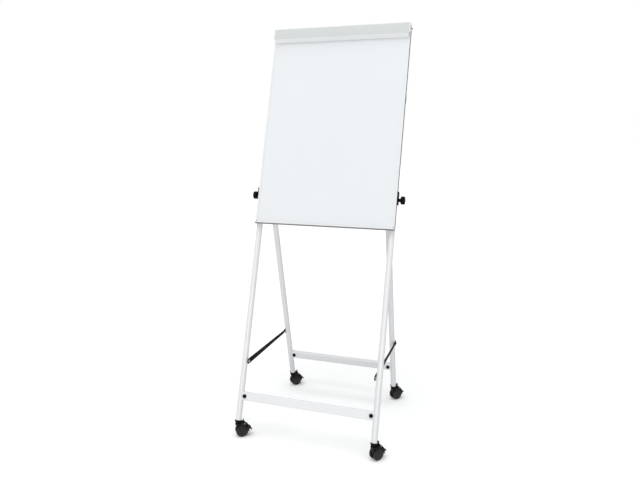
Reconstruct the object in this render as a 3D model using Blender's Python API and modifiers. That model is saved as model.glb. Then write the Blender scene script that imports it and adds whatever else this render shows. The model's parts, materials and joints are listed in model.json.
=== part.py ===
"""Flipchart easel on four braked castors, as an assembly of separate parts.

Two leaning leg frames make an A.  The board rides on the front legs and is locked by two side
knobs.  Row frame: +Z up, the board faces -Y, X to the viewer's right, origin on the floor
at the centre of the footprint.  Lengths are in metres.
"""
import bpy
import bmesh
from math import cos, pi, radians, sin, tan
from mathutils import Matrix, Vector

MM = 0.001
GAP = 0.3 * MM                      # running and assembly clearance between separate pieces

# ---- Driving dimensions -------------------------------------------------------------------
LEAN_FRONT = radians(17.1)          # front legs and board, leaning back
LEAN_REAR = radians(15.5)           # rear legs, leaning forward
HINGE_HEIGHT = 1.178                # fold axis above the floor
FRONT_FOOT_Y = -0.3659              # where the front leg axes meet the floor

TUBE_R = 14 * MM
TUBE_WALL = 1.5 * MM
FRONT_LEG_X = 334.5 * MM
REAR_LEG_X = 297 * MM
FRONT_LEG_TOP = 1.765               # along the leg, from the floor
LEG_BOTTOM = 77.5 * MM              # along the leg, from the floor
REAR_LEG_TOP = 8 * MM               # past the fold axis

BAR_H = 40 * MM                     # crossbar section
BAR_D = 20 * MM
BAR_WALL = 1.5 * MM
FRONT_BAR_AT = 0.2015               # crossbar centres, along the legs from the floor
REAR_BAR_AT = 0.212
TOP_BAR_AT = 1.735
TOP_BAR_H = 30 * MM
TOP_BAR_D = 15 * MM
SPIGOT_L = 36 * MM
FRONT_INSET = 22.5 * MM             # bar screw to leg axis
REAR_INSET = 25.5 * MM

BRACE_HEIGHT = 0.352
BRACE_T = 3 * MM
BRACE_X = 314.5 * MM                # middle of the strip, in the gap between the legs
BRACE_FRONT_H = 25 * MM
BRACE_REAR_H = 16 * MM
STUD_R = 4 * MM

BOARD_W = 0.700
BOARD_BOTTOM = 1.045                # along the front legs, from the floor
BOARD_TOP = 2.029                   # top of the side frames, at their rear edge
FRAME_SLANT = radians(35)           # their top ends slope down towards the front
FACE = -26 * MM                     # front of the border, measured square to the leg axes
FRAME_DEPTH = 22 * MM
FRAME_FACE = 10 * MM
FRAME_T = 1.2 * MM
PANEL_FRONT = -24.5 * MM
PANEL_T = 6 * MM
PANEL_RAISE = 0.9 * MM              # writing area stands this far out inside the frame
TRAY_FRONT = -34 * MM
TRAY_BACK = -15.5 * MM
TRAY_LIP = 10 * MM
RAIL_BOTTOM = 2.0225
RAIL_TOP = 2.045
RAIL_FRONT = -20 * MM
RAIL_BACK = 8 * MM
RAIL_HALF = 343 * MM
PIVOT = (2 * MM, 2.040)             # clamp bar axis: square to the legs, along the legs
PIVOT_R = 2.7 * MM
CLAMP_HALF = 344.2 * MM
CLAMP_T = 2 * MM
CAP_T = 5 * MM
HOOK_X = 0.140

KNOB_AT = 1.192                     # along the front legs
PLATE_X = 350.4 * MM
PLATE_T = 4 * MM
PLATE_W = 34 * MM
PLATE_L = 65 * MM
PLATE_ROUND = 12 * MM
PLATE_SHIFT = (-9 * MM, 7 * MM)       # plate centre from the knob's axis, to the front and up
KNOB_R = 19 * MM
GUIDE_AT = (1.192, 1.690)
GUIDE_L = 40 * MM
GUIDE_X = (312.7 * MM, 348.2 * MM)
GUIDE_BACK = 18 * MM

WHEEL_R = 30 * MM
TRAIL = 17 * MM
SWIVEL_AT = 70 * MM                 # height where the swivel axis crosses the leg axis
HOOD_R = 33.5 * MM
HOOD_IN = 31.2 * MM
HOOD_HALF = 20 * MM
WEB_HALF = 6.5 * MM
STEM_R = 4 * MM
HOUSING_R = 15.5 * MM
HOUSING_TOP = 65.8 * MM
LEVER_PIVOT = (27 * MM, 66 * MM)
LEVER_HALF = 14 * MM
HEADINGS = {"front_left": 38, "front_right": 55.5, "rear_left": 48, "rear_right": 53}

WHEEL_SIDES = 24
TUBE_SIDES = 32
SMALL_SIDES = 16

FRONT_TO_HINGE = HINGE_HEIGHT / cos(LEAN_FRONT)
REAR_TO_HINGE = HINGE_HEIGHT / cos(LEAN_REAR)
HINGE_Y = FRONT_FOOT_Y + HINGE_HEIGHT * tan(LEAN_FRONT)

# Frames: local Z runs up the legs and local Y points square to them, backwards.
FRONT = Matrix.Translation((0, FRONT_FOOT_Y, 0)) @ Matrix.Rotation(-LEAN_FRONT, 4, "X")
REAR = Matrix.Translation((0, HINGE_Y, HINGE_HEIGHT)) @ Matrix.Rotation(LEAN_REAR, 4, "X")
ALONG_X = Matrix.Rotation(pi / 2, 4, "Y")              # turns a local Z axis to +X
FLAT_IN_YZ = Matrix(((0, 0, 1, 0), (1, 0, 0, 0), (0, 1, 0, 0), (0, 0, 0, 1)))
ALONG_MINUS_Y = Matrix.Rotation(pi / 2, 4, "X")        # turns a local Z axis to -Y

MATERIALS = {
    "white_coat": ((0.86, 0.87, 0.88), 0.35, 0.0),
    "board_enamel": ((0.88, 0.90, 0.92), 0.18, 0.0),
    "bar_grey": ((0.74, 0.76, 0.76), 0.40, 0.0),
    "black_plastic": ((0.02, 0.02, 0.022), 0.45, 0.0),
    "black_steel": ((0.03, 0.03, 0.033), 0.35, 0.0),
    "castor_grey": ((0.06, 0.06, 0.065), 0.55, 0.0),
    "zinc": ((0.70, 0.70, 0.72), 0.30, 1.0),
    "nylon": ((0.80, 0.80, 0.78), 0.50, 0.0),
}


# ---- Building helpers ---------------------------------------------------------------------
def clear_scene():
    for obj in list(bpy.data.objects):
        bpy.data.objects.remove(obj, do_unlink=True)


def new_collection(name):
    group = bpy.data.collections.new(name)
    bpy.context.scene.collection.children.link(group)
    return group


def make_materials():
    made = {}
    for name, (colour, roughness, metallic) in MATERIALS.items():
        mat = bpy.data.materials.new(name)
        mat.use_nodes = True
        shader = mat.node_tree.nodes["Principled BSDF"]
        shader.inputs["Base Color"].default_value = (*colour, 1.0)
        shader.inputs["Roughness"].default_value = roughness
        shader.inputs["Metallic"].default_value = metallic
        made[name] = mat
    return made


clear_scene()
PARTS = new_collection("flipchart_easel")
CUTTERS = new_collection("cutters")
MATS = make_materials()


def anchor(name, world, parent=None):
    """An empty on a joint axis or at the foot of a frame."""
    empty = bpy.data.objects.new(name, None)
    PARTS.objects.link(empty)
    empty.parent = parent
    base = FRAMES[parent.name].inverted() if parent else Matrix()
    empty.matrix_basis = base @ world
    FRAMES[name] = world
    return empty


FRAMES = {}


def place(obj, parent, local, finish):
    """Put a part, or a cutter where finish is None, under its anchor."""
    group = PARTS if finish else CUTTERS
    group.objects.link(obj)
    obj.parent = parent
    obj.matrix_basis = local
    if finish:
        obj.data.materials.append(MATS[finish])
        obj.data.shade_smooth()
        obj.data.set_sharp_from_angle(angle=radians(35))
    else:
        obj.hide_render = True
        obj.display_type = "WIRE"
    return obj


def mesh_object(name, bm):
    mesh = bpy.data.meshes.new(name)
    bm.to_mesh(mesh)
    bm.free()
    return bpy.data.objects.new(name, mesh)


def box(name, low, high, parent, finish, local=Matrix()):
    low, high = Vector(low), Vector(high)
    size = Matrix.Diagonal((*(high - low), 1.0))
    bm = bmesh.new()
    bmesh.ops.create_cube(bm, size=1.0, matrix=Matrix.Translation((low + high) / 2) @ size)
    return place(mesh_object(name, bm), parent, local, finish)


def rod(name, radius, start, end, parent, finish, local=Matrix(), sides=SMALL_SIDES):
    """A cylinder along local Z from start to end."""
    bm = bmesh.new()
    middle = Matrix.Translation((0, 0, (start + end) / 2))
    bmesh.ops.create_cone(bm, cap_ends=True, segments=sides, radius1=radius, radius2=radius,
                          depth=end - start, matrix=middle)
    return place(mesh_object(name, bm), parent, local, finish)


def turned(name, profile, parent, finish, local=Matrix(), sides=SMALL_SIDES, closed=False):
    """A Screw of (radius, z) points that run down the outer side, about local Z."""
    mesh = bpy.data.meshes.new(name)
    edges = [(i, i + 1) for i in range(len(profile) - 1)]
    if closed:
        edges.append((len(profile) - 1, 0))
    mesh.from_pydata([(r, 0, z) for r, z in profile], edges, [])
    obj = place(bpy.data.objects.new(name, mesh), parent, local, finish)
    screw = obj.modifiers.new("turn", "SCREW")
    screw.steps = sides
    screw.render_steps = sides
    screw.use_merge_vertices = True
    screw.merge_threshold = 0.00001
    screw.use_smooth_shade = finish is not None
    return obj


def plate(name, outline, thickness, parent, finish, local=Matrix()):
    """A flat outline in local XY, thickness centred on the plane, as a welded mesh."""
    curve = bpy.data.curves.new(name, "CURVE")
    curve.dimensions = "2D"
    curve.fill_mode = "BOTH"
    curve.extrude = thickness / 2
    spline = curve.splines.new("POLY")
    spline.points.add(len(outline) - 1)
    for point, (x, y) in zip(spline.points, outline):
        point.co = (x, y, 0, 1)
    spline.use_cyclic_u = True
    flat = bpy.data.objects.new(name + "_outline", curve)
    CUTTERS.objects.link(flat)
    graph = bpy.context.evaluated_depsgraph_get()
    mesh = bpy.data.meshes.new_from_object(flat.evaluated_get(graph))
    bpy.data.objects.remove(flat, do_unlink=True)
    bm = bmesh.new()
    bm.from_mesh(mesh)
    bpy.data.meshes.remove(mesh)
    bmesh.ops.remove_doubles(bm, verts=bm.verts, dist=1e-6)
    bmesh.ops.recalc_face_normals(bm, faces=bm.faces)
    return place(mesh_object(name, bm), parent, local, finish)


def combine(target, tool, operation):
    modifier = target.modifiers.new(operation.lower(), "BOOLEAN")
    modifier.operation = operation
    modifier.object = tool
    return target


def drill(target, radius, start, end, local, sides=SMALL_SIDES):
    tool = rod(target.name + "_drill", radius, start, end, target.parent, None, local, sides)
    return combine(target, tool, "DIFFERENCE")


def arc(cx, cy, radius, first, last, count):
    """Points from angle first to last, in degrees."""
    step = (last - first) / (count - 1)
    turns = [radians(first + step * i) for i in range(count)]
    return [(cx + radius * cos(t), cy + radius * sin(t)) for t in turns]


def at(x=0.0, y=0.0, z=0.0):
    return Matrix.Translation((x, y, z))


SIDES = (("left", -1), ("right", 1))
front = anchor("front_frame_anchor", FRONT)
rear = anchor("fold_axis", REAR)


# ---- Leg frames ---------------------------------------------------------------------------
def leg(name, x, bottom, top, parent):
    inner = TUBE_R - TUBE_WALL
    profile = [(inner, bottom), (inner, top), (TUBE_R, top), (TUBE_R, bottom)]
    return turned(name, profile, parent, "white_coat", at(x), TUBE_SIDES, closed=True)


def add_spigot(tube, side, x, z, inset):
    """The welded block that the crossbar slides over, with its screw hole."""
    half_h = BAR_H / 2 - BAR_WALL - GAP
    half_d = BAR_D / 2 - BAR_WALL - GAP
    ends = sorted((side * (x - TUBE_R + 1 * MM), side * (x - TUBE_R - SPIGOT_L)))
    block = box(tube.name + "_spigot", (ends[0], -half_d, z - half_h),
                (ends[1], half_d, z + half_h), tube.parent, None)
    combine(tube, block, "UNION")
    reach = at(side * (x - inset), 0, z) @ ALONG_MINUS_Y
    drill(tube, 3 * MM + GAP, -2 * MM, BAR_D, reach)


def crossbar(name, x, z, height, depth, parent):
    """A rectangular tube, its ends coped to the legs, open at both ends."""
    half = x - TUBE_R / 2
    bar = box(name, (-half, -depth / 2, z - height / 2), (half, depth / 2, z + height / 2),
              parent, "white_coat")
    inside = box(name + "_bore", (-x, -depth / 2 + BAR_WALL, z - height / 2 + BAR_WALL),
                 (x, depth / 2 - BAR_WALL, z + height / 2 - BAR_WALL), parent, None)
    combine(bar, inside, "DIFFERENCE")
    for _, side in SIDES:
        drill(bar, TUBE_R + GAP, z - height, z + height, at(side * x), TUBE_SIDES)
    return bar


def bar_screw(name, x, z, parent):
    """Hexagonal black cap on a screw that holds the crossbar to its spigot."""
    face = BAR_D / 2
    shank = rod(name + "_shank", 3 * MM, 0, face + 1 * MM, parent, None,
                at(x, 0, z) @ ALONG_MINUS_Y)
    cap = rod(name, 9 * MM, face + GAP, face + 8.5 * MM, parent, "black_plastic",
              at(x, 0, z) @ ALONG_MINUS_Y @ Matrix.Rotation(pi / 6, 4, "Z"), sides=6)
    return combine(cap, shank, "UNION")


def leg_socket(name, x, parent, floor, world_y):
    """Plastic cup and plug on a tube end, with an upright hole for the castor stem."""
    rim = TUBE_R + GAP
    end = LEG_BOTTOM - GAP
    profile = [(0, 0.102), (TUBE_R - TUBE_WALL - GAP, 0.102), (TUBE_R - TUBE_WALL - GAP, end),
               (rim, end), (rim, 0.085), (17.4 * MM, 0.085), (17.4 * MM, 0.083),
               (15.4 * MM, 0.0755), (14 * MM, 0.0737), (0, 0.0737)]
    cup = turned(name, profile, parent, "black_plastic", at(x, 0, floor), TUBE_SIDES)
    upright = FRAMES[parent.name].inverted() @ at(x, world_y, 0)
    boss = rod(name + "_boss", 11 * MM, HOUSING_TOP + GAP, 76 * MM, parent, None, upright,
               TUBE_SIDES)
    combine(cup, boss, "UNION")
    return drill(cup, STEM_R + GAP, 0.060, 0.092, upright)


def tube_cap(name, x, top, parent):
    fit = TUBE_R - TUBE_WALL - GAP
    profile = [(0, top + 1.8 * MM), (10 * MM, top + 1.8 * MM), (12.4 * MM, top + GAP),
               (fit, top + GAP), (fit, top - 3.6 * MM), (0, top - 3.6 * MM)]
    return turned(name, profile, parent, "black_plastic", at(x), TUBE_SIDES // 2)


def build_front_frame():
    swivel_y = FRONT_FOOT_Y + SWIVEL_AT * tan(LEAN_FRONT)
    rivet_at = BRACE_HEIGHT / cos(LEAN_FRONT)
    for word, side in SIDES:
        x = side * FRONT_LEG_X
        tube = leg("front_leg_" + word, x, LEG_BOTTOM, FRONT_LEG_TOP, front)
        add_spigot(tube, side, FRONT_LEG_X, FRONT_BAR_AT, FRONT_INSET)
        inward = ALONG_X if side < 0 else Matrix.Rotation(-pi / 2, 4, "Y")
        drill(tube, 4.2 * MM, 0, 20 * MM, at(x, 0, FRONT_TO_HINGE) @ inward)
        drill(tube, 3.2 * MM, 0, 20 * MM, at(x, 0, rivet_at) @ inward)
        bar_screw("front_bar_screw_" + word, side * (FRONT_LEG_X - FRONT_INSET),
                  FRONT_BAR_AT, front)
        leg_socket("front_leg_socket_" + word, x, front, 0.0, swivel_y)
        tube_cap("front_leg_cap_" + word, x, FRONT_LEG_TOP, front)
        fold_bolt(word, side)
        brace_rivet(word, side, rivet_at)
    for name, z, height, depth in (("front_crossbar", FRONT_BAR_AT, BAR_H, BAR_D),
                                   ("front_top_bar", TOP_BAR_AT, TOP_BAR_H, TOP_BAR_D)):
        bar = crossbar(name, FRONT_LEG_X, z, height, depth, front)
        if name == "front_crossbar":
            drill_screw_holes(bar, FRONT_LEG_X - FRONT_INSET, z)


def drill_screw_holes(bar, x, z):
    for _, side in SIDES:
        drill(bar, 3 * MM + GAP, 0, BAR_D, at(side * x, 0, z) @ ALONG_MINUS_Y)


def toward_outside(side):
    """Local Z to +X on the right and to -X on the left, with local X kept square to it."""
    return ALONG_X if side > 0 else Matrix.Rotation(-pi / 2, 4, "Y")


def fold_bolt(word, side):
    """Shoulder bolt from inside the rear leg to inside the front leg, and its spacer."""
    head = REAR_LEG_X - TUBE_R - GAP
    tip = FRONT_LEG_X - TUBE_R + TUBE_WALL + 2.2 * MM
    profile = [(0, tip + 6 * MM), (6.5 * MM, tip + 6 * MM), (6.5 * MM, tip), (3.9 * MM, tip),
               (3.9 * MM, head), (7.5 * MM, head), (7.5 * MM, head - 4 * MM),
               (0, head - 4 * MM)]
    local = at(0, 0, FRONT_TO_HINGE) @ toward_outside(side)
    turned("fold_bolt_" + word, profile, front, "zinc", local)
    low = REAR_LEG_X + TUBE_R + GAP
    high = FRONT_LEG_X - TUBE_R - GAP
    ring = [(4.3 * MM, low), (4.3 * MM, high), (9 * MM, high), (9 * MM, low)]
    turned("fold_spacer_" + word, ring, front, "nylon", local, closed=True)


def brace_rivet(word, side, z):
    """Rivet with a domed head inside, a shoulder outside the strip and a bulb in the tube."""
    inside = BRACE_X - BRACE_T / 2 - GAP
    shoulder = BRACE_X + BRACE_T / 2 + GAP
    wall = FRONT_LEG_X - TUBE_R
    bulb = wall + TUBE_WALL + 1.2 * MM
    profile = [(0, bulb + 3 * MM), (4.5 * MM, bulb + 2 * MM), (4.5 * MM, bulb), (2.9 * MM, bulb),
               (2.9 * MM, wall - GAP), (6 * MM, wall - GAP), (6 * MM, shoulder),
               (3 * MM, shoulder), (3 * MM, inside), (7 * MM, inside),
               (5.2 * MM, inside - 1.9 * MM), (0, inside - 2.6 * MM)]
    turned("brace_rivet_" + word, profile, front, "zinc",
           at(0, 0, z) @ toward_outside(side))


def build_rear_frame():
    swivel_y = HINGE_Y + (HINGE_HEIGHT - SWIVEL_AT) * tan(LEAN_REAR)
    stud_at = -(HINGE_HEIGHT - BRACE_HEIGHT) / cos(LEAN_REAR)
    for word, side in SIDES:
        x = side * REAR_LEG_X
        tube = leg("rear_leg_" + word, x, LEG_BOTTOM - REAR_TO_HINGE, REAR_LEG_TOP, rear)
        add_spigot(tube, side, REAR_LEG_X, REAR_BAR_AT - REAR_TO_HINGE, REAR_INSET)
        drill(tube, 4.2 * MM, -20 * MM, 20 * MM, at(x) @ ALONG_X)
        drill(tube, 3.2 * MM, 0, 20 * MM, at(x, 0, stud_at) @ toward_outside(side))
        bar_screw("rear_bar_screw_" + word, side * (REAR_LEG_X - REAR_INSET),
                  REAR_BAR_AT - REAR_TO_HINGE, rear)
        leg_socket("rear_leg_socket_" + word, x, rear, -REAR_TO_HINGE, swivel_y)
        tube_cap("rear_leg_cap_" + word, x, REAR_LEG_TOP, rear)
        brace_stud(word, side, stud_at)
    bar = crossbar("rear_crossbar", REAR_LEG_X, REAR_BAR_AT - REAR_TO_HINGE, BAR_H, BAR_D, rear)
    drill_screw_holes(bar, REAR_LEG_X - REAR_INSET, REAR_BAR_AT - REAR_TO_HINGE)


def brace_stud(word, side, z):
    """Headed stud on the outside of a rear leg, which the brace hooks over."""
    wall = REAR_LEG_X + TUBE_R
    bulb = wall - TUBE_WALL - 1.2 * MM
    head = BRACE_X + BRACE_T / 2 + 0.8 * MM
    profile = [(0, head + 3 * MM), (5 * MM, head + 3 * MM), (6.5 * MM, head + 1.5 * MM),
               (6.5 * MM, head), (STUD_R, head), (STUD_R, wall + GAP), (2.9 * MM, wall + GAP),
               (2.9 * MM, bulb), (4.5 * MM, bulb), (4.5 * MM, bulb - 2 * MM),
               (0, bulb - 3 * MM)]
    turned("brace_stud_" + word, profile, rear, "black_steel",
           at(0, 0, z) @ toward_outside(side))


# ---- Braces -------------------------------------------------------------------------------
def build_braces():
    """Flat strips: a pivot eye in front, a hook that opens down and forward at the back."""
    start_y = FRONT_FOOT_Y + BRACE_HEIGHT * tan(LEAN_FRONT)
    length = HINGE_Y + (HINGE_HEIGHT - BRACE_HEIGHT) * tan(LEAN_REAR) - start_y
    eye = BRACE_FRONT_H / 2
    tail = BRACE_REAR_H / 2
    outline = arc(0, 0, eye, 90, 270, 9)
    outline += [(length - 16 * MM, -tail), (length - 2 * MM, -13 * MM), (length + 10 * MM, -11 * MM)]
    outline += [(length + 13 * MM, -4 * MM), (length + 12 * MM, 15 * MM)]
    outline += [(length + 5 * MM, 18 * MM), (length - 4 * MM, tail + 1 * MM)]
    outline += [(length - 16 * MM, tail)]
    for word, side in SIDES:
        pivot = anchor("brace_axis_" + word, at(side * BRACE_X, start_y, BRACE_HEIGHT))
        strip = plate("brace_" + word, outline, BRACE_T, pivot, "black_steel", FLAT_IN_YZ)
        drill(strip, 3 * MM + GAP, -5 * MM, 5 * MM, ALONG_X)
        mouth = box("brace_mouth_" + word, (-5 * MM, -STUD_R - 0.8 * MM, -20 * MM),
                    (5 * MM, STUD_R + 0.8 * MM, 0), pivot, None,
                    at(0, length, 0) @ Matrix.Rotation(-HOOK_SLANT, 4, "X"))
        combine(strip, mouth, "DIFFERENCE")
        drill(strip, STUD_R + 0.8 * MM, -5 * MM, 5 * MM, at(0, length, 0) @ ALONG_X)


HOOK_SLANT = radians(27)            # the stud leaves the hook this far forward of straight down


# ---- Board --------------------------------------------------------------------------------
def build_board():
    half = BOARD_W / 2
    panel_back = PANEL_FRONT + PANEL_T
    panel = box("board_panel", (-half + 1.5 * MM, PANEL_FRONT, BOARD_BOTTOM + 4 * MM),
                (half - 1.5 * MM, panel_back, BOARD_TOP - 14 * MM), front, "board_enamel")
    inside = half - FRAME_FACE - 0.6 * MM
    raised = box("panel_face", (-inside, PANEL_FRONT - PANEL_RAISE, BOARD_BOTTOM + 16.8 * MM),
                 (inside, PANEL_FRONT + 2 * MM, BOARD_TOP - 57 * MM), front, None)
    combine(panel, raised, "UNION")
    for word, side in SIDES:
        side_frame(word, side, half)
        clamp_plate(word, side)
        for place_word, z in zip(("lower", "upper"), GUIDE_AT):
            guide(place_word + "_guide_" + word, side, z, panel_back)
    tray(half)
    top_rail()


def side_frame(word, side, half):
    """Angle section round the board's edge: a narrow white face and a deep outer wall."""
    back = FACE + FRAME_DEPTH
    inner_wall = half - FRAME_T
    section = [(half, FACE), (half, back), (inner_wall, back), (inner_wall, FACE + FRAME_T),
               (half - FRAME_FACE, FACE + FRAME_T), (half - FRAME_FACE, FACE)]
    outline = [(side * x, y) for x, y in section]
    low, high = BOARD_BOTTOM + 2.8 * MM, BOARD_TOP + 10 * MM
    rail = plate("side_frame_" + word, outline, high - low, front, "white_coat",
                 at(0, 0, (low + high) / 2))
    above = box("side_frame_end", (-20 * MM, -60 * MM, 0), (20 * MM, 20 * MM, 60 * MM), front,
                None, at(side * half, back, BOARD_TOP) @ Matrix.Rotation(FRAME_SLANT, 4, "X"))
    combine(rail, above, "DIFFERENCE")


def tray(half):
    """Bottom ledge with a front lip, and the border strip that stands in front of the panel."""
    z = BOARD_BOTTOM
    floor = 2.5 * MM
    outline = [(TRAY_FRONT, z), (TRAY_BACK, z), (TRAY_BACK, z + floor),
               (TRAY_FRONT + 1.6 * MM, z + floor), (TRAY_FRONT + 1.6 * MM, z + TRAY_LIP),
               (TRAY_FRONT, z + TRAY_LIP)]
    ledge = plate("tray", outline, 2 * half, front, "white_coat", FLAT_IN_YZ)
    reach = half - FRAME_FACE - GAP
    strip = box("tray_border", (-reach, FACE, z + 1 * MM), (reach, FACE + FRAME_T, z + 16 * MM),
                front, None)
    combine(ledge, strip, "UNION")


def top_rail():
    rail = box("top_rail", (-RAIL_HALF, RAIL_FRONT, RAIL_BOTTOM), (RAIL_HALF, RAIL_BACK, RAIL_TOP),
               front, "white_coat")
    for _, side in SIDES:
        drill(rail, PIVOT_R + GAP, RAIL_HALF - 12 * MM, RAIL_HALF + 2 * MM,
              at(0, *PIVOT) @ toward_outside(side))


def clamp_plate(word, side):
    """Black side plate with rounded ends that carries the knob's thread."""
    y, z = PLATE_SHIFT
    far_y, far_z = PLATE_W / 2 - PLATE_ROUND, PLATE_L / 2 - PLATE_ROUND
    outline = []
    for k, (a, b) in enumerate(((1, 1), (-1, 1), (-1, -1), (1, -1))):
        outline += arc(y + a * far_y, z + b * far_z, PLATE_ROUND, 90 * k, 90 * k + 90, 6)
    middle = side * (PLATE_X + PLATE_T / 2)
    part = plate("clamp_plate_" + word, outline, PLATE_T, front, "black_plastic",
                 at(middle, 0, KNOB_AT) @ FLAT_IN_YZ)
    drill(part, 3 * MM + GAP, -5 * MM, 5 * MM, at(middle, 0, KNOB_AT) @ ALONG_X)


def guide(name, side, z, panel_back):
    """Nylon slide on the panel's back, bored to run on the front leg."""
    ends = sorted(side * x for x in GUIDE_X)
    block = box(name, (ends[0], panel_back + GAP, z - GUIDE_L / 2),
                (ends[1], GUIDE_BACK, z + GUIDE_L / 2), front, "nylon")
    drill(block, TUBE_R + GAP, z - GUIDE_L, z + GUIDE_L, at(side * FRONT_LEG_X), TUBE_SIDES)


# ---- Clamp bar, hooks and knobs -------------------------------------------------------------
def build_clamp_bar():
    """Bent strip over the board's top edge, swinging up about its rear edge."""
    axis = anchor("clamp_bar_axis", FRONT @ at(0, *PIVOT), front)
    bends = [(-2 * MM, 2.0487), (-49 * MM, 2.0491), (-44.7 * MM, 1.9975), (-31 * MM, 1.9856)]
    rows = [[(x, y - PIVOT[0], z - PIVOT[1]) for y, z in bends]
            for x in (-CLAMP_HALF, CLAMP_HALF)]
    mesh = bpy.data.meshes.new("clamp_bar")
    count = len(bends)
    faces = [(i, i + 1, count + i + 1, count + i) for i in range(count - 1)]
    mesh.from_pydata(rows[0] + rows[1], [], faces)
    bar = place(bpy.data.objects.new("clamp_bar", mesh), axis, Matrix(), "bar_grey")
    wall = bar.modifiers.new("wall", "SOLIDIFY")
    wall.thickness = CLAMP_T
    wall.offset = 0
    wall.use_even_offset = True
    outline = [(6 * MM, 2.0500), (-50.5 * MM, 2.0500), (-46.4 * MM, 1.9975), (-40 * MM, 2.0010),
               (-26 * MM, 2.0185), (-3 * MM, 2.0345), (6 * MM, 2.0350), (9 * MM, 2.0380),
               (9 * MM, 2.0470)]
    shape = [(y - PIVOT[0], z - PIVOT[1]) for y, z in outline]
    for word, side in SIDES:
        middle = side * (CLAMP_HALF + GAP + CAP_T / 2)
        cap = plate("clamp_end_cap_" + word, shape, CAP_T, axis, "white_coat",
                    at(middle) @ FLAT_IN_YZ)
        pin = rod("clamp_pin_" + word, PIVOT_R, RAIL_HALF - 10 * MM, CLAMP_HALF + 2 * MM, axis,
                  None, toward_outside(side))
        combine(cap, pin, "UNION")


def build_hooks():
    """Clips that slide along the top rail, each with a peg for the pad's holes."""
    front_face = RAIL_FRONT - GAP
    outline = [(-26.4 * MM, 1.994), (-26.4 * MM, 2.0188), (front_face, 2.0200),
               (front_face, RAIL_TOP + GAP), (RAIL_BACK + GAP, RAIL_TOP + GAP),
               (RAIL_BACK + GAP, 2.038), (RAIL_BACK + 1.8 * MM, 2.038),
               (RAIL_BACK + 1.8 * MM, 2.0469), (front_face - 2.2 * MM, 2.0469),
               (front_face - 2.2 * MM, 2.0215), (-29 * MM, 2.0205), (-29 * MM, 1.994)]
    for word, side in SIDES:
        x = side * HOOK_X
        clip = plate("pad_hook_" + word, outline, 24 * MM, front, "black_plastic",
                     at(x) @ FLAT_IN_YZ)
        peg = rod("pad_hook_peg_" + word, 4 * MM, 27 * MM, 37 * MM, front, None,
                  at(x, 0, 2.003) @ ALONG_MINUS_Y)
        combine(clip, peg, "UNION")


def build_knobs():
    """Round knob on a conical neck, with the clamping screw moulded in."""
    tip = FRONT_LEG_X + TUBE_R + GAP
    seat = PLATE_X + PLATE_T + GAP
    neck = seat + 11 * MM
    crown = seat + 29 * MM
    profile = [(0, crown), (13 * MM, crown), (KNOB_R - 1.6 * MM, crown - 1.4 * MM),
               (KNOB_R, crown - 3.6 * MM), (KNOB_R, neck + 1.5 * MM), (KNOB_R - 1.5 * MM, neck),
               (10 * MM, neck), (7 * MM, seat + 2 * MM), (7 * MM, seat), (3 * MM, seat),
               (3 * MM, tip), (0, tip)]
    for word, side in SIDES:
        axis = anchor("knob_axis_" + word, FRONT @ at(0, 0, KNOB_AT), front)
        turned("knob_" + word, profile, axis, "black_plastic", toward_outside(side), 20)


# ---- Castors ------------------------------------------------------------------------------
def castor(corner, x, y, heading):
    """Twin-wheel castor; local X is the trailing direction and local Z the swivel axis."""
    swivel = anchor("castor_swivel_" + corner, at(x, y, 0) @ Matrix.Rotation(heading, 4, "Z"))
    upright = Matrix.Rotation(pi / 2, 4, "X")          # outline XY becomes castor XZ
    centre = (TRAIL, WHEEL_R)
    fender = arc(*centre, HOOD_R, -8, 128, 13) + arc(*centre, HOOD_IN, 128, -8, 13)
    hood = plate("castor_hood_" + corner, fender, 2 * HOOD_HALF, swivel, "castor_grey", upright)
    web_outline = arc(*centre, 18 * MM, -160, 30, 10)
    web_outline += [(39 * MM, 53.5 * MM), (28 * MM, 61.5 * MM), (24 * MM, 63.5 * MM),
                    (-7.5 * MM, 63.5 * MM), (-7.5 * MM, 44 * MM)]
    web = plate("castor_web", web_outline, 2 * WEB_HALF, swivel, None, upright)
    combine(hood, web, "UNION")
    housing = rod("castor_housing", HOUSING_R, 61 * MM, HOUSING_TOP, swivel, None,
                  sides=WHEEL_SIDES)
    combine(hood, housing, "UNION")
    stem = rod("castor_stem", STEM_R, 62 * MM, 90 * MM, swivel, None)
    combine(hood, stem, "UNION")
    px, pz = LEVER_PIVOT
    for _, side in SIDES:
        span = sorted((side * (LEVER_HALF + 0.6 * MM), side * (LEVER_HALF + 4 * MM)))
        ear = box("castor_ear", (px - 4.5 * MM, span[0], 60.8 * MM), (px + 4.5 * MM, span[1], 69.2 * MM),
                  swivel, None)
        combine(hood, ear, "UNION")
    across = Matrix.Rotation(pi / 2, 4, "X")
    drill(hood, 2 * MM + GAP, -22 * MM, 22 * MM, at(px, 0, pz) @ across)
    drill(hood, STEM_R + GAP, -22 * MM, 22 * MM, at(TRAIL, 0, WHEEL_R) @ across)
    castor_wheels(corner, swivel, across)
    castor_lever(corner, swivel, upright, across)


def castor_wheels(corner, swivel, across):
    """Both wheels and their axle; the tread's flats touch the floor."""
    rim = WHEEL_R / cos(pi / WHEEL_SIDES)
    half = [(0, 21 * MM), (12 * MM, 20.6 * MM), (23 * MM, 19.4 * MM), (rim - 1.8 * MM, 17.2 * MM),
            (rim, 14.5 * MM), (rim, 10 * MM), (rim - 1.5 * MM, 8.2 * MM), (STEM_R, 8.2 * MM)]
    profile = half + [(r, -z) for r, z in reversed(half)]
    turn = Matrix.Rotation(pi / 2 + pi / WHEEL_SIDES, 4, "Z")
    turned("castor_wheels_" + corner, profile, swivel, "castor_grey",
           at(TRAIL, 0, WHEEL_R) @ across @ turn, WHEEL_SIDES)


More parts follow.
